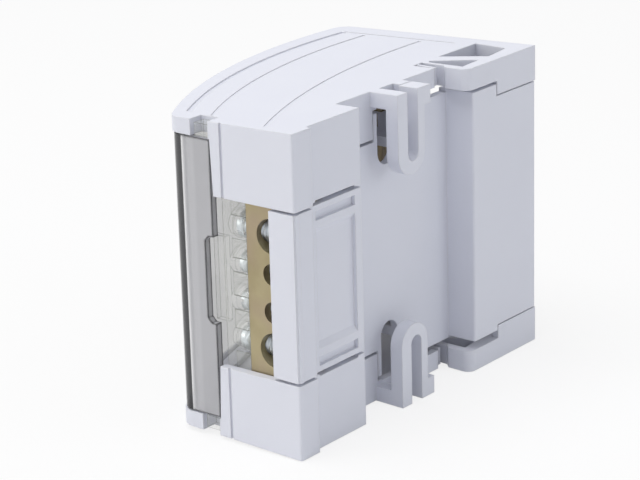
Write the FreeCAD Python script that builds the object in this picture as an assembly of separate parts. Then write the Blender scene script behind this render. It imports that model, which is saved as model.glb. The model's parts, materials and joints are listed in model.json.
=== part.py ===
import FreeCAD, Part
import math
import os
from FreeCAD import Vector

# Four-pole power distribution block for a 35 mm rail.
# Working axes, in millimetres: u runs from the wire side to the hinge side, v runs from
# the mounting plane to the front cover, and z runs along the rail. The last section turns
# every piece into the part's own frame.

# Overall form
width = 70.0
height = 86.5
front_bow = 1.4682
front_r = front_bow * height
front_top_back = 16.6
front_top_u = height - front_top_back
front_top_v = 53.0
front_corner_r = 4.0
hinge_lean = 3.2
end_draft = 1.65
wall = 1.8
fit_gap = 0.3
edge_round = 0.5

# Rear side: mounting plane, shallow step and rail channel
strip_w = 6.0
step_v = 1.2
channel_u = 23.4
channel_depth = 7.3
cap_channel_w = 36.8
base_channel_w = 38.9
cap_foot_u = channel_u + cap_channel_w
base_foot_u = channel_u + base_channel_w
foot_len = height - cap_foot_u

# End caps
cap_skirt_z = 16.4
cap_lip_v = 21.8
lip_lean = 0.6
lip_w = 2.7
lip_groove_w = 0.7
lip_groove_depth = 0.4
end_plate_z = 3.0
rim_z = 4.3
rim_w = 5.0
rim_notch_v0 = 22.1
rim_notch_len = 4.7
rim_notch_v1 = rim_notch_v0 + rim_notch_len
rim_notch_u = 3.6
cap_foot_z = 4.9
cap_foot_v = 15.0
foot_round = 2.0
tab_z = 8.0
tab_share = 0.43
tab_u = cap_foot_u + tab_share * foot_len
flange_len = 12.4
flange_u = channel_u + flange_len
flange_z = 10.8
slit_near = 2.0
slit_far = 1.3
slit_corner_v = 5.9
plate_u = cap_foot_u - slit_near
plate_z = 4.5
slit_v = 13.0
slit_rib_w = 0.8
slit_rib_u = plate_u + 1.2
latch_slot_u0 = 8.2
latch_slot_u1 = 21.3
latch_slot_z = 0.4

# Pockets in the cap's foot, seen from the end and set out along the foot
pocket_top_v = 13.0
pocket_low_v = 3.2
pocket_near = 0.29 * foot_len
pocket_web = 0.2 * foot_len
pocket_far = 0.17 * foot_len
pocket_lean = 1.0
web_pocket_edge = 0.083 * foot_len
web_pocket_len = 0.26 * foot_len
web_pocket_v = 11.6
web_pocket_slope = 1.0
web_pocket_drop = 0.4

# Raised bands on the end faces are parted by shallow grooves on these arcs
groove_w = 0.8
groove_depth = 0.14
rim_groove_w = 1.4
rim_groove_depth = 0.3
band_arcs = [
    (rim_groove_depth, rim_groove_w, front_r - 1.0, front_top_u - 2.0, front_top_v - 5.1, 4.6, height - 8.4),
    (groove_depth, groove_w, front_r + 8.8, front_top_u, front_top_v - 11.8, 4.2, height - 9.0),
    (groove_depth, groove_w, front_r + 36.5, front_top_u + 5.0, front_top_v - 27.3, 2.4, height - 8.2),
]
edge_groove_v0 = 17.5
edge_groove_v1 = front_top_v - 5.6

# Screw-fixing lugs, one in each cap
lug_u = channel_u + 11.6
lug_arm_w = 3.4
lug_gap = 3.7
lug_spring_w = 2.2
lug_reach = 18.2
lug_t = 3.1
lug_anchor_z = 3.5
lug_hook_w = 2.3
lug_hook_z = 4.0
lug_hook_v = 4.9
lug_post_gap = 0.3
slot_w = 6.0
slot_z0 = 4.2
slot_reach = 17.2
slot_back_v = 14.0

# Base moulding
cap_to_base = 0.6
panel_v = 6.8
bead_w = 1.1
bead_rise = 0.15
bead_rebate_u = 0.45
bead_rebate_v = 0.35
bead_round = 0.3
field_depth = 0.9
field_ramp = 1.3
field_groove_z = 1.2
field_groove_w = 2.1
field_rib_w = 1.6
floor_z = 11.5
floor_far_z = 6.4
finger_w = 1.2
finger_z = 5.4
foot_low_z = 6.9
foot_high_gap = 5.6
window_v0 = 14.0
window_v1 = 38.5
window_edge_z = 11.0
window_depth = 12.0
bulkhead_z = 12.4
bulkhead_t = 2.2
bulkhead_grip = 7.0
bulkhead_cheek = 2.0
root_u0 = 12.6
root_u1 = 19.6
root_t = 1.5
root_height = 5.0

# Busbars stand in steps, and each has two large and two small terminals
bar_count = 4
bar_u = 2.1
bar_w = 9.0
bar_depth = 11.5
bar_end_room = 9.5
bar_len = width - 2.0 * bar_end_room
hinge_side_room = 18.5
bar_step_u = (height - bar_u - bar_w - hinge_side_room) / (bar_count - 1)
bar_step_v = 6.5
terminal_pitch = 8.25
terminal_shift = -0.7
wire_axis_v = 5.0
large_wire_d = 7.6
small_wire_d = 4.8
large_screw_d = 6.0
small_screw_d = 5.0
thread_gap = 0.05
screw_stand = 4.4
shoulder_in = 0.2
tip_share = 0.45
large_tip_in = 5.1
small_tip_in = 3.7
driver_slot_w = 1.0
driver_slot_depth = 1.2
screw_chamfer = 0.5

# Clear screw guards
guard_rise = 6.3
guard_plate_t = 1.4
guard_wall = 1.1
guard_bore_gap = 0.3
guard_ring_t = 0.9
driver_hole_d = 5.4
catch_rise = 3.2
catch_t = 1.3
catch_set = 0.6
catch_len = 18.6
tongue_sink = 0.7
tongue_gap = 0.8
tongue_root = 2.5

# Front cover with moulded hinge pins
cover_t = 1.6
cover_sink = 0.3
cover_skirt_v = 22.1
hinge_u = height - 7.4
hinge_v = front_top_v - 5.0
hinge_pin_d = 2.9
hinge_boss_d = 5.6
cover_tail_v = hinge_v - hinge_boss_d / 2.0 - 0.6
hinge_wall_v = cover_tail_v - 2.6
hinge_boss_len = 3.0
pin_len = 1.9
pin_gap = 0.05
finger_notch_len = 19.0
finger_notch_v = 2.2
finger_notch_corner = 1.0

mid_z = width / 2.0
lean = math.tan(math.radians(hinge_lean))
draft = math.tan(math.radians(end_draft))
reach = 2.0 * height


def block(u0, u1, v0, v1, z0, z1):
    return Part.makeBox(u1 - u0, v1 - v0, z1 - z0, Vector(u0, v0, z0))


def prism(points, z0, z1):
    ring = [Vector(u, v, z0) for u, v in points]
    return Part.Face(Part.makePolygon(ring + ring[:1])).extrude(Vector(0, 0, z1 - z0))


def fuse(shapes):
    return shapes[0].multiFuse(shapes[1:]).removeSplitter()


def cut(shape, tools):
    return shape.cut(Part.makeCompound(tools)).removeSplitter()


def mirrored(shape):
    return shape.mirror(Vector(0, 0, mid_z), Vector(0, 0, 1))


def round_upright(shape, spots, radius):
    """Round the edges that run along z at the given (u, v) spots."""
    picked = []
    for edge in shape.Edges:
        ends = [vertex.Point for vertex in edge.Vertexes]
        if len(ends) < 2 or abs(ends[0].x - ends[1].x) > 1e-6 or abs(ends[0].y - ends[1].y) > 1e-6:
            continue
        if any(math.hypot(ends[0].x - u, ends[0].y - v) < 0.05 for u, v in spots):
            picked.append(edge)
    return shape.makeFillet(radius, picked)


def front_v(u, inset=0.0):
    radius = front_r - inset
    return front_top_v - front_r + math.sqrt(radius * radius - (u - front_top_u) ** 2)


def hinge_side_u(v, inset=0.0):
    return height - inset * math.hypot(1.0, lean) - v * lean


def front_corner(inset):
    """Where the front arc meets the leaning hinge side."""
    v = front_top_v
    for _ in range(30):
        u = hinge_side_u(v, inset)
        v = front_v(u, inset)
    return u, v


def front_region(inset, v_low, z0, z1):
    """The body behind the curved front, inset from its outer surface."""
    near = Vector(inset, front_v(inset, inset), z0)
    far_u, far_v = front_corner(inset)
    far = Vector(far_u, far_v, z0)
    top = Vector(front_top_u, front_v(front_top_u, inset), z0)
    near_low = Vector(inset, v_low, z0)
    far_low = Vector(hinge_side_u(v_low, inset), v_low, z0)
    edges = [
        Part.LineSegment(near_low, near).toShape(),
        Part.Arc(near, top, far).toShape(),
        Part.LineSegment(far, far_low).toShape(),
        Part.LineSegment(far_low, near_low).toShape(),
    ]
    solid = Part.Face(Part.Wire(edges)).extrude(Vector(0, 0, z1 - z0))
    radius = max(front_corner_r - inset, 0.8)
    return round_upright(solid, [(near.x, near.y), (far.x, far.y)], radius)


def outside_end(depth):
    """Everything beyond the drafted end face at z = 0, sunk by depth."""
    low = -20.0
    ring = [
        Vector(-5.0, low, low),
        Vector(-5.0, reach, low),
        Vector(-5.0, reach, reach * draft + depth),
        Vector(-5.0, low, low * draft + depth),
    ]
    return Part.Face(Part.makePolygon(ring + ring[:1])).extrude(Vector(reach, 0, 0))


def arc_band(strip_width, radius, centre_u, top_v, u0, u1):
    """A narrow curved strip for a groove, seen along z."""
    centre_v = top_v - radius

    def on_arc(u, r):
        return Vector(u, centre_v + math.sqrt(r * r - (u - centre_u) ** 2), -rim_z)

    middle = 0.5 * (u0 + u1)
    outer = radius + strip_width / 2.0
    inner = radius - strip_width / 2.0
    edges = [
        Part.Arc(on_arc(u0, outer), on_arc(middle, outer), on_arc(u1, outer)).toShape(),
        Part.LineSegment(on_arc(u1, outer), on_arc(u1, inner)).toShape(),
        Part.Arc(on_arc(u1, inner), on_arc(middle, inner), on_arc(u0, inner)).toShape(),
        Part.LineSegment(on_arc(u0, inner), on_arc(u0, outer)).toShape(),
    ]
    return Part.Face(Part.Wire(edges)).extrude(Vector(0, 0, 3.0 * rim_z))


def slot_cutter(u_mid, slot_width, z0, z_end, v0, v1):
    """A slot that runs along z and ends in a full round at z_end."""
    radius = slot_width / 2.0
    round_z = z_end - radius
    straight = block(u_mid - radius, u_mid + radius, v0, v1, z0, round_z)
    end = Part.makeCylinder(radius, v1 - v0, Vector(u_mid, v0, round_z), Vector(0, 1, 0))
    return straight.fuse(end)


def rear_skin(z0, z1):
    """Mounting strip, shallow step and channel wall behind the wire side."""
    return [
        block(0, strip_w, 0, wall, z0, z1),
        block(strip_w - wall, strip_w, 0, step_v + wall, z0, z1),
        block(strip_w - wall, channel_u, step_v, step_v + wall, z0, z1),
        block(channel_u - wall, channel_u, step_v, channel_depth + wall, z0, z1),
    ]


def hinge_wall(v0, v1, z0, z1):
    """The leaning wall on the hinge side."""
    thick = wall * math.hypot(1.0, lean)
    return prism([
        (hinge_side_u(v0), v0),
        (hinge_side_u(v1), v1),
        (hinge_side_u(v1) - thick, v1),
        (hinge_side_u(v0) - thick, v0),
    ], z0, z1)


lug_gap_u = lug_u + lug_arm_w + lug_gap / 2.0


def fixing_lug():
    """A U-shaped spring lug, anchored at its thick arm, and the post that stops its free arm."""
    outer_w = lug_arm_w + lug_gap + lug_spring_w
    lug = slot_cutter(lug_u + outer_w / 2.0, outer_w, 0.0, lug_reach, 0.0, lug_t)
    end_z = lug_reach - outer_w / 2.0 + lug_gap / 2.0
    lug = lug.cut(slot_cutter(lug_gap_u, lug_gap, -1.0, end_z, -1.0, lug_t + 1.0))
    far_u = lug_u + outer_w
    anchor = block(lug_u, lug_u + lug_arm_w, 0, channel_depth + wall / 2.0, 0, lug_anchor_z)
    hook = block(far_u - lug_spring_w, far_u + lug_hook_w, 0, lug_hook_v, 0, lug_hook_z)
    post = block(far_u - lug_spring_w / 2.0, far_u + lug_hook_w, lug_hook_v + lug_post_gap,
                 channel_depth + wall / 2.0, 0, lug_hook_z)
    return fuse([lug, anchor, hook]), post


def end_cap():
    """The cap at z = 0, moulded in one piece with its fixing lug."""
    skirt_front = cap_lip_v
    outline = prism([
        (0, slit_v), (0, 0), (strip_w, 0), (strip_w, step_v), (channel_u, step_v),
        (channel_u, channel_depth), (cap_foot_u, channel_depth), (cap_foot_u, 0),
        (height, 0), (hinge_side_u(slit_v), slit_v),
    ], 0, end_plate_z)
    plate = front_region(0.0, slit_v - 0.5, 0, end_plate_z)
    rim = front_region(0.0, cap_foot_v, 0, rim_z).cut(front_region(rim_w, cap_foot_v - 1.0, -1.0, rim_z + 1.0))
    boss = Part.makeCylinder(hinge_boss_d / 2.0 + 0.9, rim_z, Vector(hinge_u, hinge_v, 0))
    foot = prism([
        (cap_foot_u, 0), (height, 0), (hinge_side_u(cap_foot_v), cap_foot_v), (cap_foot_u, cap_foot_v),
    ], 0, cap_foot_z)
    tab = block(tab_u, height, 0, wall, 0, tab_z)
    body = [outline, plate, rim, boss, foot, tab, hinge_wall(0, hinge_wall_v, 0, tab_z)]
    body += rear_skin(0, cap_skirt_z)
    body.append(block(0, wall, 0, skirt_front, 0, cap_skirt_z))
    body.append(block(channel_u - wall, flange_u, channel_depth, channel_depth + wall, 0, flange_z))
    body.append(block(flange_u - wall, plate_u, channel_depth, channel_depth + wall, 0, plate_z))
    body += fixing_lug()
    cap = fuse(body)

    groove_u0 = lip_w
    tools = [
        block(-1, rim_notch_u, rim_notch_v0, rim_notch_v1, -1, rim_z + 1),
        foot_slit(),
        block(-1, lip_groove_depth, skirt_front - groove_u0 - lip_groove_w, skirt_front - groove_u0, -1, width),
        slot_cutter(lug_gap_u, slot_w, slot_z0, slot_reach, channel_depth - 0.5, channel_depth + wall + 1),
        block(latch_slot_u0, latch_slot_u1, -1, step_v + wall + 1, cap_skirt_z - latch_slot_z, cap_skirt_z + 1),
        Part.makeCylinder(hinge_pin_d / 2.0 + pin_gap, pin_len + fit_gap,
                          Vector(hinge_u, hinge_v, rim_z - pin_len), Vector(0, 0, 1)),
        large_pocket(), web_pocket(), lip_wedge(), outside_end(0.0),
    ]
    cap = cut(cap, tools)
    cap = fuse([cap, block(slit_rib_u, slit_rib_u + slit_rib_w, channel_depth + slit_rib_w, slit_v + 0.5, 0.5, plate_z)])
    bands = [arc_band(*spec).common(outside_end(depth)) for depth, *spec in band_arcs]
    bands.append(edge_groove().common(outside_end(groove_depth)))
    cap = cut(cap, bands)
    cap = round_upright(cap, [(0, 0)], edge_round)
    return round_upright(cap, [(cap_foot_u, 0)], foot_round)


def foot_slit():
    """The slit between the channel's plate and the foot, widened behind the foot's corner."""
    far_u = cap_foot_u + slit_far
    return prism([
        (plate_u, -1.0), (cap_foot_u, -1.0), (cap_foot_u, slit_corner_v), (far_u, slit_corner_v + slit_far),
        (far_u, slit_v), (plate_u, slit_v),
    ], -1, cap_skirt_z)


def large_pocket():
    near_u = cap_foot_u + pocket_near
    far_u = height - pocket_far
    return prism([
        (near_u, pocket_top_v), (far_u, pocket_top_v), (far_u - pocket_lean, pocket_low_v + pocket_lean),
        (near_u + pocket_web, pocket_low_v),
    ], -1, cap_foot_z + 1)


def web_pocket():
    """The three-cornered pocket beside the foot's slanted web."""
    near_u = cap_foot_u + web_pocket_edge
    return prism([
        (near_u, web_pocket_v), (near_u + web_pocket_slope, web_pocket_v + web_pocket_slope),
        (near_u + web_pocket_len, pocket_low_v), (near_u, pocket_low_v - web_pocket_drop),
    ], -1, cap_foot_z + 1)


def lip_wedge():
    """Leans the skirt's free edge back from the cover, more toward the middle of the block."""
    front = cap_lip_v + 0.01
    ring = [
        Vector(-1.0, front, end_plate_z),
        Vector(-1.0, front, cap_skirt_z + 1.0),
        Vector(-1.0, cap_lip_v - lip_lean, cap_skirt_z + 1.0),
    ]
    return Part.Face(Part.makePolygon(ring + ring[:1])).extrude(Vector(1.0 + wall + fit_gap, 0, 0))


def edge_groove():
    """The straight groove that follows the hinge side."""
    points = []
    for v, side in ((edge_groove_v0, 0.0), (edge_groove_v1, 0.0), (edge_groove_v1, 1.0), (edge_groove_v0, 1.0)):
        points.append((hinge_side_u(v, rim_w + side * groove_w), v))
    return prism(points, -rim_z, 2.0 * rim_z)


def bar_place(index):
    """Near edge and rear face of a busbar, counted from the wire side."""
    return bar_u + index * bar_step_u, step_v + wall + index * bar_step_v


def terminal_rows():
    """Height of each terminal and whether it is a large one."""
    rows = []
    for place in (-1.5, -0.5, 0.5, 1.5):
        rows.append((mid_z + terminal_shift + place * terminal_pitch, abs(place) > 1.0))
    return rows


def bulkhead():
    """A stepped plate that grips the ends of the busbars, with its root on the rear skin."""
    z0 = bulkhead_z
    top = [bar_place(k)[1] + bulkhead_grip for k in range(bar_count)]
    low_v = channel_depth + wall / 2.0
    points = [
        (bar_u, step_v + wall + fit_gap),
        (channel_u - wall - fit_gap, step_v + wall + fit_gap),
        (channel_u - wall - fit_gap, channel_depth + wall + fit_gap),
        (channel_u + fit_gap, channel_depth + wall + fit_gap),
        (channel_u + fit_gap, low_v),
        (bar_place(bar_count - 1)[0] + bar_w + bulkhead_cheek, low_v),
        (bar_place(bar_count - 1)[0] + bar_w + bulkhead_cheek, top[-1]),
    ]
    for k in range(bar_count - 1, 0, -1):
        step_u = bar_place(k)[0] - bulkhead_cheek
        points.append((step_u, top[k]))
        points.append((step_u, top[k - 1]))
    points.append((bar_u, top[0]))
    notches = []
    for k in range(bar_count):
        u0, v0 = bar_place(k)
        notches.append(block(u0 - 0.1, u0 + bar_w + 0.1, v0, reach, z0 - 1, z0 + bulkhead_t + 1))
    plate = prism(points, z0, z0 + bulkhead_t)
    root_z = cap_skirt_z + cap_to_base
    root_v = step_v + wall + fit_gap
    root = block(root_u0, root_u1, root_v, root_v + root_height, z0, root_z + root_t)
    sole = block(root_u0, root_u1, step_v + wall / 2.0, root_v + 0.1, root_z, root_z + root_t)
    return plate.multiFuse([root, sole]).cut(Part.makeCompound(notches))


def base_body():
    low_z = cap_skirt_z + cap_to_base
    high_z = width - low_z
    far_z = width - foot_high_gap
    floor_v1 = channel_depth + wall
    slot_far_u = lug_gap_u + slot_w / 2.0
    slot_near_u = lug_gap_u - slot_w / 2.0
    body = rear_skin(low_z, high_z)
    body += [
        block(0, wall, 0, panel_v, low_z, high_z),
        block(channel_u + fit_gap, slot_far_u, channel_depth, floor_v1, floor_z, width - floor_z),
        block(channel_u - wall, channel_u + 1.0, channel_depth, floor_v1, low_z, high_z),
        block(slot_near_u - finger_w, slot_near_u, channel_depth, floor_v1, finger_z, width - finger_z),
        block(slot_far_u - 0.01, base_foot_u + wall, channel_depth, floor_v1, floor_far_z, width - floor_far_z),
        block(base_foot_u, base_foot_u + wall, 0, floor_v1, foot_low_z, far_z),
        block(base_foot_u, height, 0, wall, foot_low_z, far_z),
        hinge_wall(0, hinge_wall_v, tab_z + fit_gap, width - tab_z - fit_gap),
        bulkhead(),
        mirrored(bulkhead()),
    ]
    base = fuse(body)

    groove_z = low_z + field_groove_z
    tools = []
    for flip in (False, True):
        pair = [
            slot_cutter(lug_gap_u, slot_w, -1, slot_reach, channel_depth - 1, floor_v1 + 0.2),
            block(tab_u - fit_gap, height + 1, -1, wall + 0.5, -1, tab_z + fit_gap),
            block(latch_slot_u0, latch_slot_u1, step_v - 1, step_v + field_depth, groove_z, groove_z + field_groove_w),
            block(slot_near_u, slot_far_u, floor_v1, slot_back_v, floor_z, slot_reach),
        ]
        tools += [mirrored(tool) for tool in pair] if flip else pair
    tools.append(rear_field(groove_z + field_groove_w + field_rib_w))
    tools.append(block(-1, bead_rebate_u, -1, bead_rebate_v, low_z - 1, high_z + 1))
    tools.append(block(bead_rebate_u + bead_w, strip_w + 1, -1, bead_rise, low_z - 1, high_z + 1))
    tools.append(block(height - window_depth, height + 1, window_v0, window_v1, window_edge_z, width - window_edge_z))
    base = cut(base, tools)
    base = round_upright(base, [(height, 0), (base_foot_u, 0)], edge_round)
    return round_upright(base, [(bead_rebate_u, 0)], bead_round)


def rear_field(z0):
    """The shallow field between the ribs of the rear, with ramps at both ends."""
    z1 = width - z0
    front = step_v - 1.0
    ring = [
        Vector(latch_slot_u0, front, z0 - field_ramp / field_depth),
        Vector(latch_slot_u0, step_v + field_depth, z0 + field_ramp),
        Vector(latch_slot_u0, step_v + field_depth, z1 - field_ramp),
        Vector(latch_slot_u0, front, z1 + field_ramp / field_depth),
    ]
    return Part.Face(Part.makePolygon(ring + ring[:1])).extrude(Vector(latch_slot_u1 - latch_slot_u0, 0, 0))


def busbar(index):
    u0, v0 = bar_place(index)
    z0 = mid_z - bar_len / 2.0
    bar = block(u0, u0 + bar_w, v0, v0 + bar_depth, z0, z0 + bar_len)
    holes = []
    for z, large in terminal_rows():
        wire_d = large_wire_d if large else small_wire_d
        screw_d = large_screw_d if large else small_screw_d
        holes.append(Part.makeCylinder(wire_d / 2.0, bar_w + 2, Vector(u0 - 1, v0 + wire_axis_v, z), Vector(1, 0, 0)))
        holes.append(Part.makeCylinder(screw_d / 2.0 + thread_gap, bar_depth - wire_axis_v + 1,
                                       Vector(u0 + bar_w / 2.0, v0 + wire_axis_v, z), Vector(0, 1, 0)))
    return bar.cut(Part.makeCompound(holes))


def clamp_screw(index, z, large):
    """A slotted clamping screw, backed out so that its end stands above the busbar."""
    u0, v0 = bar_place(index)
    wire_d = large_wire_d if large else small_wire_d
    radius = (large_screw_d if large else small_screw_d) / 2.0
    tip_in = large_tip_in if large else small_tip_in
    hole_top = v0 + wire_axis_v + wire_d / 2.0
    tip_v = hole_top - tip_in
    shoulder_v = hole_top - shoulder_in
    head_v = v0 + bar_depth + screw_stand
    axis_u = u0 + bar_w / 2.0
    tip_r = tip_share * radius
    outline = [
        (0, tip_v), (tip_r - screw_chamfer, tip_v), (tip_r, tip_v + screw_chamfer), (tip_r, shoulder_v),
        (radius - screw_chamfer, shoulder_v), (radius, shoulder_v + screw_chamfer),
        (radius, head_v - screw_chamfer), (radius - screw_chamfer, head_v), (0, head_v),
    ]
    ring = [Vector(u, v, 0) for u, v in outline]
    screw = Part.Face(Part.makePolygon(ring + ring[:1])).revolve(Vector(0, 0, 0), Vector(0, 1, 0), 360)
    slot = block(-radius - 1, radius + 1, head_v - driver_slot_depth, head_v + 1,
                 -driver_slot_w / 2.0, driver_slot_w / 2.0)
    screw = screw.cut(slot)
    screw.translate(Vector(axis_u, 0, z))
    return screw


def screw_guard(index):
    """A clear strip with a well round each screw and a hole for the screwdriver."""
    u0, v0 = bar_place(index)
    front = v0 + bar_depth
    top = front + guard_rise
    z0 = mid_z - bar_len / 2.0
    z1 = z0 + bar_len
    outer = block(u0, u0 + bar_w, front, top, z0, z1)
    hollow = block(u0 + guard_wall, u0 + bar_w - guard_wall, front - 1, top - guard_plate_t,
                   z0 + guard_wall, z1 - guard_wall)
    rings, wells = [], []
    for z, large in terminal_rows():
        bore = (large_screw_d if large else small_screw_d) / 2.0 + guard_bore_gap
        base = Vector(u0 + bar_w / 2.0, front, z)
        rings.append(Part.makeCylinder(bore + guard_ring_t, guard_rise, base, Vector(0, 1, 0)))
        wells.append(Part.makeCylinder(bore, guard_rise - guard_plate_t, base, Vector(0, 1, 0)))
        wells.append(Part.makeCylinder(driver_hole_d / 2.0, guard_rise + 1, base, Vector(0, 1, 0)))
    guard = fuse([outer.cut(hollow)] + rings).common(outer)
    if index == 0:
        guard = fuse([guard] + catch_and_tongues(u0, top))
    return cut(guard, wells)


def catch_and_tongues(u0, top):
    """The cover's catch, and the end tongues that fill the notches in the cap rims."""
    catch_u = u0 + catch_set
    catch = block(catch_u, catch_u + catch_t, top - 0.5, top + catch_rise,
                  mid_z - catch_len / 2.0, mid_z + catch_len / 2.0)
    v0 = rim_notch_v0 + fit_gap
    v1 = rim_notch_v1 - tongue_gap
    low_z = v1 * draft + tongue_sink
    arm_u = rim_notch_u - fit_gap
    strip = block(u0, arm_u, top - 0.5, v1, low_z, mid_z - bar_len / 2.0 + tongue_root)
    strip = strip.cut(block(u0 - 1, arm_u + 1, top - 1, v0, -1, rim_z + fit_gap))
    nose = block(fit_gap + 0.1, arm_u, v0, v1, low_z, rim_z)
    low = fuse([strip, nose])
    return [catch, low, mirrored(low)]


def front_cover():
    """The smoked cover with its skirt, finger notch and moulded hinge pins."""
    z0 = rim_z + fit_gap
    z1 = width - z0
    outer = front_region(cover_sink, cover_skirt_v, z0, z1)
    inner = front_region(cover_sink + cover_t, cover_skirt_v - 1, z0 - 1, z1 + 1)
    shell = outer.cut(inner)
    below_tail = block(height / 2.0, height + 2, cover_skirt_v - 1, cover_tail_v, z0 - 1, z1 + 1)
    shell = shell.cut(below_tail).cut(finger_notch())
    pieces = [shell]
    for low in (z0, z1 - hinge_boss_len):
        boss = Part.makeCylinder(hinge_boss_d / 2.0, hinge_boss_len, Vector(hinge_u, hinge_v, low))
        stem = block(hinge_u - 1.6, hinge_u + 1.6, hinge_v, front_v(hinge_u, cover_sink + cover_t / 2.0),
                     low, low + hinge_boss_len)
        pieces += [boss, stem]
    pin_r = hinge_pin_d / 2.0
    pieces.append(Part.makeCylinder(pin_r, pin_len + 0.5, Vector(hinge_u, hinge_v, z0 - pin_len)))
    pieces.append(Part.makeCylinder(pin_r, pin_len + 0.5, Vector(hinge_u, hinge_v, z1 - 0.5)))
    return fuse(pieces)


def finger_notch():
    """The shallow notch in the skirt's edge, with its corners cut off."""
    half = finger_notch_len / 2.0
    low_v = cover_skirt_v - 1.0
    deep_v = cover_skirt_v + finger_notch_v
    corner = finger_notch_corner
    ring = [
        Vector(-1.0, low_v, mid_z - half),
        Vector(-1.0, deep_v - corner, mid_z - half),
        Vector(-1.0, deep_v, mid_z - half + corner),
        Vector(-1.0, deep_v, mid_z + half - corner),
        Vector(-1.0, deep_v - corner, mid_z + half),
        Vector(-1.0, low_v, mid_z + half),
    ]
    return Part.Face(Part.makePolygon(ring + ring[:1])).extrude(Vector(cover_t + 2.0, 0, 0))


def all_pieces():
    cap = end_cap()
    pieces = {
        "base_body": base_body(),
        "end_cap_bottom": cap,
        "end_cap_top": mirrored(cap),
        "front_cover": front_cover(),
    }
    for k in range(bar_count):
        pieces["busbar_%d" % (k + 1)] = busbar(k)
        pieces["screw_guard_%d" % (k + 1)] = screw_guard(k)
        for n, (z, large) in enumerate(terminal_rows()):
            pieces["clamp_screw_%d_%d" % (k + 1, n + 1)] = clamp_screw(k, z, large)
    return pieces


def placed(shape):
    """Turn a piece into the part's frame: wire side to +X, mounting plane to +Y."""
    shape = shape.copy()
    shape.rotate(Vector(0, 0, 0), Vector(0, 0, 1), 180)
    shape.translate(Vector(height / 2.0, front_top_v / 2.0, 0))
    return shape


os.makedirs("parts", exist_ok=True)
for name, shape in all_pieces().items():
    placed(shape).exportStep("parts/%s.step" % name)
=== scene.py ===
"""Looks for a rail-mounted power distribution block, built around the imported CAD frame.

+Z runs along the rail, +Y points out of the mounting plane, +X toward the wire side, and the cover
faces -Y. The CAD solids stay as they are and get their materials here. The clamping screws are
drawn again, with threads and driver slots.
"""

import json
import math

import bmesh
import bpy
from mathutils import Matrix, Vector


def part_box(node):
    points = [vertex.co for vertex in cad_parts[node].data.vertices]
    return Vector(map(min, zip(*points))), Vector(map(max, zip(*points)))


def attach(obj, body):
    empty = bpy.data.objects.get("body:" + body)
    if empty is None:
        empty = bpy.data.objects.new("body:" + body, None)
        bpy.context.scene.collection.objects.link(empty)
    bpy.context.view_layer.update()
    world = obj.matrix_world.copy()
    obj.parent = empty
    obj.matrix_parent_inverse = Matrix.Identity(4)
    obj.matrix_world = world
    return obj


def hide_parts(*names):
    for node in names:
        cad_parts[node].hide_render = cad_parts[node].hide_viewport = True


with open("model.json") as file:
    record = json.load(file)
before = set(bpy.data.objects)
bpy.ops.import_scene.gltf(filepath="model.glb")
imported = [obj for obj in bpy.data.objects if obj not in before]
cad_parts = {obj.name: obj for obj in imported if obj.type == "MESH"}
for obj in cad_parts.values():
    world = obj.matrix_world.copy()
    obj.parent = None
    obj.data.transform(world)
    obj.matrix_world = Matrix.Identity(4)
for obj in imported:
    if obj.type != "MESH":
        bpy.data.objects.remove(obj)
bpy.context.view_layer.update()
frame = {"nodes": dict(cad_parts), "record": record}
nodes = frame["nodes"]

MM = 0.001


# Camera
CAMERA_AT = Vector((0.40497, 0.32364, 0.20284))
CAMERA_RIGHT = Vector((-0.619229, 0.784740, -0.027164))
CAMERA_UP = Vector((-0.262640, -0.174396, 0.949003))
LENS = 138.73
SENSOR_WIDTH = 36.0
NEAR_CLIP = 0.01


def add_camera():
    """The camera that was fitted to the block's edges in the photo."""
    data = bpy.data.cameras.new("photo_camera")
    data.lens = LENS
    data.sensor_width = SENSOR_WIDTH
    data.clip_start = NEAR_CLIP
    camera = bpy.data.objects.new("photo_camera", data)
    back = CAMERA_RIGHT.cross(CAMERA_UP)
    turn = Matrix((CAMERA_RIGHT, CAMERA_UP, back)).transposed().to_4x4()
    camera.matrix_world = Matrix.Translation(CAMERA_AT) @ turn
    bpy.context.scene.collection.objects.link(camera)
    bpy.context.scene.camera = camera


# Material helpers
BEVEL_SAMPLES = 6


def srgb(red, green, blue):
    """A colour as it reads on screen, 0 to 255, in scene values."""
    def linear(value):
        value /= 255.0
        return value / 12.92 if value <= 0.04045 else ((value + 0.055) / 1.055) ** 2.4
    return linear(red), linear(green), linear(blue)


def grey(value):
    """One number on every channel, for a blend that carries a value such as alpha."""
    return value, value, value


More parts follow.
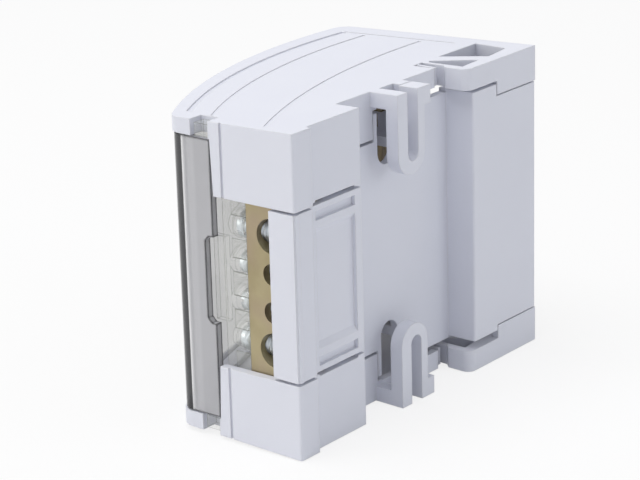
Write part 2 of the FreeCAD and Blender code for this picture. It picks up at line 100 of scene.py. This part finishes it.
class Nodes:
    """Short calls for building a node material."""

    def __init__(self, name):
        self.material = bpy.data.materials.new(name)
        self.material.use_nodes = True
        self.tree = self.material.node_tree
        self.shader = self.tree.nodes["Principled BSDF"]
        self.coords = self.add("ShaderNodeTexCoord").outputs["Object"]

    def add(self, kind, **values):
        node = self.tree.nodes.new(kind)
        for key, value in values.items():
            setattr(node, key, value)
        return node

    def link(self, source, target):
        self.tree.links.new(source, target)

    def noise(self, scale, detail, stretch=(1.0, 1.0, 1.0)):
        """Soft spots from 0 to 1, drawn out along an axis whose stretch is under 1."""
        mapping = self.add("ShaderNodeMapping")
        mapping.inputs["Scale"].default_value = stretch
        self.link(self.coords, mapping.inputs["Vector"])
        node = self.add("ShaderNodeTexNoise")
        node.inputs["Scale"].default_value = scale
        node.inputs["Detail"].default_value = detail
        self.link(mapping.outputs["Vector"], node.inputs["Vector"])
        return node.outputs["Fac"]

    def remap(self, value, low, high, from_low=0.0, from_high=1.0):
        """low where value is at from_low, high where it is at from_high, and held beyond."""
        node = self.add("ShaderNodeMapRange")
        node.inputs["From Min"].default_value = from_low
        node.inputs["From Max"].default_value = from_high
        node.inputs["To Min"].default_value = low
        node.inputs["To Max"].default_value = high
        self.link(value, node.inputs["Value"])
        return node.outputs["Result"]

    def blend(self, factor, first, second):
        """From the first colour, where factor is 0, to the second, where it is 1."""
        node = self.add("ShaderNodeMix", data_type="RGBA")
        for socket, value in ((node.inputs[6], first), (node.inputs[7], second)):
            if isinstance(value, tuple):
                socket.default_value = value + (1.0,)
            else:
                self.link(value, socket)
        self.link(factor, node.inputs[0])
        return node.outputs[2]

    def soft_normal(self, radius):
        """The normal with the sharp edges rounded off to this radius."""
        node = self.add("ShaderNodeBevel", samples=BEVEL_SAMPLES)
        node.inputs["Radius"].default_value = radius
        return node.outputs["Normal"]

    def bump(self, height, strength, distance, edge):
        """Fine relief on the surface, whose sharp edges catch light as if rounded by edge."""
        node = self.add("ShaderNodeBump")
        node.inputs["Strength"].default_value = strength
        node.inputs["Distance"].default_value = distance
        self.link(height, node.inputs["Height"])
        self.link(self.soft_normal(edge), node.inputs["Normal"])
        self.link(node.outputs["Normal"], self.shader.inputs["Normal"])

    def edges(self, radius, flat, sharp):
        """1 along the sharp edges of a piece, 0 on its flat and rounded faces.

        flat and sharp are the cosines between the true and the softened normal for 0 and for 1.
        """
        plain = self.add("ShaderNodeNewGeometry")
        dot = self.add("ShaderNodeVectorMath", operation="DOT_PRODUCT")
        self.link(self.soft_normal(radius), dot.inputs[0])
        self.link(plain.outputs["Normal"], dot.inputs[1])
        return self.remap(dot.outputs["Value"], 0.0, 1.0, flat, sharp)

    def set(self, **values):
        """Gives each named socket of the shader a number or another node's output."""
        for key, value in values.items():
            socket = self.shader.inputs[key.replace("_", " ")]
            if isinstance(value, float):
                socket.default_value = value
            else:
                self.link(value, socket)


# Materials
# Where the looks of the smoked cover change, as ranges along Y in its place at rest. The front
# wall is see-through up to its corner on the wire side. There it turns dark, and the skirt behind
# the corner starts with a highlight and gets a shade darker toward the rear.
SEE_THROUGH_ENDS = (-7.0 * MM, -5.0 * MM)
FRONT_WALL_ENDS = (-3.3 * MM, -3.1 * MM)
HIGHLIGHT_ENDS = (-3.0 * MM, -2.3 * MM)
REAR_SHADE_STARTS = (-0.4 * MM, 0.4 * MM)


def housing_plastic():
    """Light grey moulded plastic with a fine spark-eroded grain and slightly paler edges, a
    painted highlight for the light that the rounded edges catch.
    """
    m = Nodes("housing_plastic")
    cloud = m.noise(45.0, 4.0)
    grain = m.noise(5200.0, 2.0)
    face = m.blend(cloud, srgb(216, 218, 229), srgb(221, 223, 233))
    # Paler along the sharp edges: a painted highlight for the light that rounded edges catch.
    wear_and_edge_highlight = m.remap(m.edges(0.35 * MM, 0.985, 0.82), 0.0, 0.7)
    m.set(
        Base_Color=m.blend(wear_and_edge_highlight, face, srgb(236, 236, 241)),
        Roughness=m.remap(grain, 0.42, 0.56),
        Specular_IOR_Level=0.4,
    )
    m.bump(grain, strength=0.16, distance=0.05 * MM, edge=0.3 * MM)
    return m.material


def smoked_plastic():
    """Smoke-tinted clear plastic: a see-through front wall, a dark corner and a pale skirt."""
    m = Nodes("smoked_plastic")
    place = m.add("ShaderNodeSeparateXYZ")
    m.link(m.coords, place.inputs[0])
    along = place.outputs["Y"]
    see_through = m.remap(along, 1.0, 0.0, *SEE_THROUGH_ENDS)
    front = m.remap(along, 1.0, 0.0, *FRONT_WALL_ENDS)
    highlight = m.remap(along, 1.0, 0.0, *HIGHLIGHT_ENDS)
    rear = m.remap(along, 0.0, 1.0, *REAR_SHADE_STARTS)
    # The sharp edges are painted near-black and more solid: painted shade for the dark lines that
    # refraction draws along the edges of the plastic.
    edge = m.edges(0.9 * MM, 0.99, 0.86)

    plain_skirt = m.blend(rear, srgb(200, 200, 205), srgb(186, 186, 191))
    skirt = m.blend(highlight, plain_skirt, srgb(240, 240, 242))
    # Paler streaks on the skirt, drawn out along Z.
    paler_streaks = m.remap(m.noise(30.0, 2.0, stretch=(1.0, 1.0, 0.25)), 0.0, 0.5)
    streaked_skirt = m.blend(paler_streaks, skirt, srgb(200, 200, 205))
    front_wall = m.blend(see_through, srgb(24, 24, 30), srgb(64, 64, 70))
    tint = m.blend(front, streaked_skirt, front_wall)

    face_alpha = m.blend(see_through, m.remap(front, 0.74, 0.95), grey(0.3))
    edge_alpha = m.remap(see_through, 1.0, 0.45)
    m.set(
        Base_Color=m.blend(edge, tint, srgb(30, 30, 34)),
        Alpha=m.blend(edge, face_alpha, edge_alpha),
        Roughness=m.remap(m.noise(900.0, 3.0), 0.05, 0.14),
        IOR=1.5,
    )
    m.bump(m.noise(60.0, 2.0), strength=0.25, distance=0.12 * MM, edge=0.25 * MM)
    return m.material


def clear_plastic():
    """Thin clear plastic with a faint green cast, flow marks and darker grey-green edges, which
    are painted shade for the dark lines that refraction draws along them.
    """
    m = Nodes("clear_plastic")
    wave = m.noise(220.0, 2.0)
    # The sharp edges are painted grey-green and less see-through: painted shade for the dark lines
    # that refraction draws along the edges of clear plastic.
    edge = m.edges(0.35 * MM, 0.97, 0.8)
    face = m.blend(wave, srgb(240, 242, 236), srgb(250, 251, 248))
    m.set(
        Base_Color=m.blend(edge, face, srgb(110, 116, 106)),
        Alpha=m.blend(edge, m.remap(wave, 0.08, 0.18), grey(0.7)),
        Roughness=m.remap(m.noise(1400.0, 3.0), 0.05, 0.14),
        IOR=1.49,
    )
    m.bump(wave, strength=0.15, distance=0.08 * MM, edge=0.15 * MM)
    return m.material


def drawn_brass():
    """Extruded brass: long draw lines along the bar, faint tarnish and a dull rosy skin."""
    m = Nodes("drawn_brass")
    lines = m.noise(900.0, 3.0, stretch=(1.0, 1.0, 0.02))
    tarnish = m.remap(m.noise(110.0, 5.0), 0.0, 1.0, 0.35, 0.7)
    rosy = m.remap(m.noise(70.0, 2.0), 0.0, 0.8, 0.45, 0.65)
    wear_and_edge_highlight = m.blend(tarnish, srgb(170, 158, 126), srgb(150, 138, 106))
    m.set(
        Base_Color=m.blend(rosy, wear_and_edge_highlight, srgb(166, 148, 130)),
        Roughness=m.remap(lines, 0.3, 0.52),
        Metallic=0.7,
    )
    m.bump(lines, strength=0.3, distance=0.03 * MM, edge=0.15 * MM)
    return m.material


def zinc_steel():
    """Zinc-plated steel with a slightly uneven bright finish."""
    m = Nodes("zinc_steel")
    cloud = m.noise(700.0, 4.0)
    m.set(
        Base_Color=m.blend(cloud, srgb(204, 212, 220), srgb(236, 242, 246)),
        Roughness=m.remap(cloud, 0.2, 0.4),
        Metallic=0.7,
    )
    m.bump(cloud, strength=0.2, distance=0.03 * MM, edge=0.1 * MM)
    return m.material


MATERIALS = {
    "housing": housing_plastic(),
    "smoked_cover": smoked_plastic(),
    "clear_guard": clear_plastic(),
    "brass": drawn_brass(),
    "zinc_steel": zinc_steel(),
}


def dress_nodes():
    """Puts each CAD solid into the material that its record names."""
    for part in frame["record"]["subparts"]:
        mesh = nodes[part["node"]].data
        mesh.materials.clear()
        mesh.materials.append(MATERIALS[part["material_slot"]])


# Clamping screws: rows 1 and 4 of each busbar are large, rows 2 and 3 small
TERMINALS = [(bar, row) for bar in range(1, 5) for row in range(1, 5)]
LARGE_ROWS = (1, 4)

# The shank is the length at full width. It runs further down than on the CAD screws, so that it
# shows behind the wire bores as in the photo. Radius and whole length come from the frame.
LARGE_SCREW = {"pitch": 1.0 * MM, "shank": 10.7 * MM}
SMALL_SCREW = {"pitch": 0.8 * MM, "shank": 9.9 * MM}

SCREW_SIDES = 48
SHANK_RINGS = 60
THREAD_DEPTH = 0.55  # of the pitch
PLAIN_HEAD = 1.3 * MM  # without thread, at the head
PLAIN_END = 0.4 * MM  # without thread, at the end of the shank
SHANK_BEVEL = 0.5 * MM  # at 45 degrees, at both ends of the shank
POINT_RADIUS = 0.45  # of the screw's radius
STEP_TO_POINT = 0.02 * MM
POINT_SHOULDER = 0.5 * MM
TIP_BEVEL = 0.4 * MM
TIP_RING = 0.15 * MM
TIP_SLOPE = 0.6
TIP_DROP = 0.24 * MM  # the slope over the bevel's length

SLOT_WIDTH = 1.0 * MM
SLOT_DEPTH = 1.2 * MM
SLOT_LENGTH = 2.4  # of the screw's radius, so that it runs out on both sides

# Each slot stands at its own angle, in degrees, as hand-driven screws do
TURN_PER_BAR = 37.0
TURN_PER_ROW = 71.0


def screw_mesh(radius, length, pitch, shank):
    """A threaded screw along Y: head at the origin, thinner point at the far end."""
    point = POINT_RADIUS * radius
    thread_end = shank - PLAIN_END

    def radius_at(along, around):
        """The screw's radius at this length from the head and this share of a turn."""
        if along > shank:
            return min(point, point + TIP_SLOPE * (length - along) - TIP_DROP)
        phase = (along / pitch - around) % 1.0
        valley = 1.0 - abs(2.0 * phase - 1.0)
        fade_in = max(0.0, (along - PLAIN_HEAD) / pitch)
        fade_out = max(0.0, (thread_end - along) / pitch)
        thread = radius - THREAD_DEPTH * pitch * valley * min(1.0, fade_in, fade_out)
        bevelled = radius - SHANK_BEVEL + min(along, shank - along)
        return min(thread, bevelled)

    stations = [shank * ring / SHANK_RINGS for ring in range(SHANK_RINGS + 1)]
    stations += [shank + STEP_TO_POINT, shank + POINT_SHOULDER]
    stations += [length - TIP_BEVEL, length - TIP_RING, length]
    bm = bmesh.new()
    rings = []
    for along in stations:
        ring = []
        for side in range(SCREW_SIDES):
            angle = 2.0 * math.pi * side / SCREW_SIDES
            r = radius_at(along, side / SCREW_SIDES)
            ring.append(bm.verts.new((r * math.cos(angle), along, r * math.sin(angle))))
        rings.append(ring)
    for low, high in zip(rings, rings[1:]):
        for side in range(SCREW_SIDES):
            after = (side + 1) % SCREW_SIDES
            bm.faces.new((low[side], high[side], high[after], low[after]))
    bm.faces.new(rings[0])
    bm.faces.new(list(reversed(rings[-1])))
    bmesh.ops.recalc_face_normals(bm, faces=bm.faces)
    mesh = bpy.data.meshes.new("screw_pattern")
    bm.to_mesh(mesh)
    bm.free()
    return mesh


def slotted(mesh, radius):
    """The screw's mesh with the driver slot sawn across its head."""
    bm = bmesh.new()
    bmesh.ops.create_cube(bm, size=1.0)
    size = (SLOT_LENGTH * radius, 2.0 * SLOT_DEPTH, SLOT_WIDTH)
    bmesh.ops.scale(bm, verts=bm.verts, vec=size)
    blade = bpy.data.meshes.new("slot_cutter")
    bm.to_mesh(blade)
    bm.free()
    piece = bpy.data.objects.new("screw_pattern", mesh)
    cutter = bpy.data.objects.new("slot_cutter", blade)
    for item in (piece, cutter):
        bpy.context.scene.collection.objects.link(item)
    modifier = piece.modifiers.new("slot", "BOOLEAN")
    modifier.operation = "DIFFERENCE"
    modifier.solver = "EXACT"
    modifier.object = cutter
    bpy.context.view_layer.update()
    graph = bpy.context.evaluated_depsgraph_get()
    result = bpy.data.meshes.new_from_object(piece.evaluated_get(graph))
    for item in (piece, cutter):
        bpy.data.objects.remove(item)
    for used in (mesh, blade):
        bpy.data.meshes.remove(used)
    return result


def add_screws():
    """Threaded, slotted screws in place of the plain CAD ones."""
    patterns = {}
    for bar, row in TERMINALS:
        node = "clamp_screw_%d_%d" % (bar, row)
        low, high = (Vector(corner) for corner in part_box(node))
        large = row in LARGE_ROWS
        if large not in patterns:
            radius = 0.5 * (high.x - low.x)
            kind = LARGE_SCREW if large else SMALL_SCREW
            patterns[large] = slotted(screw_mesh(radius, high.y - low.y, **kind), radius)
        mesh = patterns[large].copy()
        angle = math.radians(TURN_PER_BAR * bar + TURN_PER_ROW * row)
        place = Vector((0.5 * (low.x + high.x), low.y, 0.5 * (low.z + high.z)))
        mesh.transform(Matrix.Translation(place) @ Matrix.Rotation(angle, 4, "Y"))
        mesh.materials.clear()
        mesh.materials.append(MATERIALS["zinc_steel"])
        screw = bpy.data.objects.new("threaded_screw_%d_%d" % (bar, row), mesh)
        bpy.context.scene.collection.objects.link(screw)
        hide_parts(node)
        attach(screw, "screw_%d_%d" % (bar, row))


# Stage
FLOOR_SIZE = 8.0
FLOOR_DROP = 0.2 * MM  # below the block, so that the two never share a plane
FLOOR_PAPER = (0.86, 0.86, 0.87, 1.0)
FLOOR_GLOW_SHARE = 0.8  # of the floor's look where it is seen, the rest shows the shadow
SKY_COLOUR = (1.0, 1.0, 1.0, 1.0)
SKY_SEEN = 1.0
SKY_LIGHT = 0.46  # strength with which the sky lights the object

LAMP_AIM = Vector((0.0, 0.0, 0.035))
LAMPS = (
    # Name, place, width, power and colour
    ("key_above", (0.25, -0.2, 1.15), 0.9, 8.5, (1.0, 1.0, 1.0)),
    ("side_fill", (1.05, -0.55, 0.35), 0.8, 3.1, (1.0, 0.985, 0.9)),
    ("rear_fill", (-0.35, 1.2, 0.4), 0.7, 1.95, (0.92, 0.97, 1.0)),
    ("corner_fill", (0.75, 1.0, 0.45), 0.5, 0.15, (0.93, 0.98, 1.0)),
)


def backdrop_rays(tree):
    """1 where the backdrop is seen, straight or in metal or glass, and 0 where it gives light."""
    path = tree.nodes.new("ShaderNodeLightPath")
    seen = path.outputs["Is Camera Ray"]
    for ray in ("Is Glossy Ray", "Is Transmission Ray"):
        either = tree.nodes.new("ShaderNodeMath")
        either.operation = "MAXIMUM"
        tree.links.new(seen, either.inputs[0])
        tree.links.new(path.outputs[ray], either.inputs[1])
        seen = either.outputs[0]
    return seen


def add_floor():
    """White floor that fades into the backdrop and still takes the object's shadow."""
    bpy.ops.mesh.primitive_plane_add(size=FLOOR_SIZE, location=(0.0, 0.0, -FLOOR_DROP))
    floor = bpy.context.object
    floor.name = "studio_floor"
    material = bpy.data.materials.new("studio_white")
    material.use_nodes = True
    tree = material.node_tree
    tree.nodes.clear()
    out = tree.nodes.new("ShaderNodeOutputMaterial")
    paper = tree.nodes.new("ShaderNodeBsdfDiffuse")
    paper.inputs["Color"].default_value = FLOOR_PAPER
    glow = tree.nodes.new("ShaderNodeEmission")
    glow.inputs["Strength"].default_value = 1.0
    share = tree.nodes.new("ShaderNodeMath")
    share.operation = "MULTIPLY"
    share.inputs[1].default_value = FLOOR_GLOW_SHARE
    mix = tree.nodes.new("ShaderNodeMixShader")
    tree.links.new(backdrop_rays(tree), share.inputs[0])
    tree.links.new(share.outputs[0], mix.inputs[0])
    tree.links.new(paper.outputs[0], mix.inputs[1])
    tree.links.new(glow.outputs[0], mix.inputs[2])
    tree.links.new(mix.outputs[0], out.inputs["Surface"])
    floor.data.materials.append(material)


def add_world():
    """White sky, at full strength where it is seen and weaker as a light."""
    world = bpy.data.worlds.new("studio")
    bpy.context.scene.world = world
    world.use_nodes = True
    tree = world.node_tree
    sky = tree.nodes["Background"]
    sky.inputs["Color"].default_value = SKY_COLOUR
    level = tree.nodes.new("ShaderNodeMapRange")
    level.inputs["To Min"].default_value = SKY_LIGHT
    level.inputs["To Max"].default_value = SKY_SEEN
    tree.links.new(backdrop_rays(tree), level.inputs["Value"])
    tree.links.new(level.outputs["Result"], sky.inputs["Strength"])


def add_lamps():
    """Round area lamps that all face the middle of the block."""
    for name, at, width, power, colour in LAMPS:
        data = bpy.data.lights.new(name, "AREA")
        data.shape = "DISK"
        data.size = width
        data.energy = power
        data.color = colour
        lamp = bpy.data.objects.new(name, data)
        lamp.location = at
        lamp.rotation_euler = (LAMP_AIM - Vector(at)).to_track_quat("-Z", "Y").to_euler()
        bpy.context.scene.collection.objects.link(lamp)


dress_nodes()
add_screws()
add_floor()
add_lamps()
add_world()
add_camera()
bpy.context.scene.view_settings.view_transform = "Standard"
